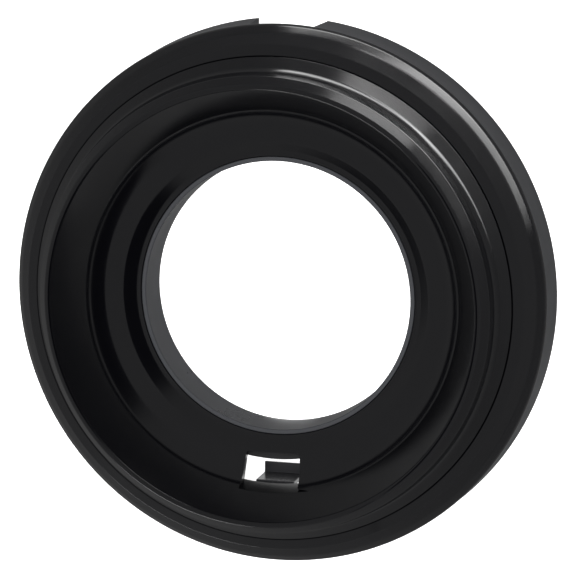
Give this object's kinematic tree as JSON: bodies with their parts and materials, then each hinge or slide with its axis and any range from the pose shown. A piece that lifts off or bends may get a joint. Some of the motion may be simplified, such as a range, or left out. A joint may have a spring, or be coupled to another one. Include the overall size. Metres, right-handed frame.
{
  "type": "garbage disposal throat collar",
  "caption": "Stepped black plastic ring round a wide throat, with a funnel-shaped recess, a rear skirt with a notch and a release latch behind a window.",
  "frame": {"origin": "centre of the throat at the back plane, which the skirt's back edge stands on", "axes": "+Z along the throat towards the sink, +Y to the notch in the skirt, -Y to the latch window"},
  "size_m": [0.1796, 0.179, 0.0388],
  "materials": {
    "gloss_black": "high-gloss moulded black ABS",
    "skirt_black": "satin moulded black ABS with a fine spark texture",
    "sleeve_black": "satin moulded black polypropylene",
    "gasket_rubber": "moulded black rubber",
    "latch_black": "semi-gloss moulded black acetal",
    "pin_steel": "ground steel",
    "spring_steel": "drawn spring wire",
    "clip_steel": "stamped steel, phosphated",
    "screw_steel": "zinc-plated steel"
  },
  "bodies": {
    "collar": {"trim_ring": "gloss_black", "funnel_cover": "gloss_black", "rear_skirt": "skirt_black", "throat_sleeve": "sleeve_black", "throat_gasket": "gasket_rubber", "latch_pin": "pin_steel", "latch_spring": "spring_steel", "pin_clips": "clip_steel", "cover_screws": "screw_steel", "sleeve_screws": "screw_steel"},
    "latch": {"release_latch": "latch_black"}
  },
  "joints": [
    {"name": "latch_hinge", "type": "hinge", "parent": "collar", "child": "latch", "pos_m": [0, -0.0667, 0.0122], "axis": [-1, 0, 0], "range_deg": [0, 20], "stiffness_Nm_per_rad": 0.03, "springref_deg": -20.05, "deforming": ["latch_spring"]}
  ]
}
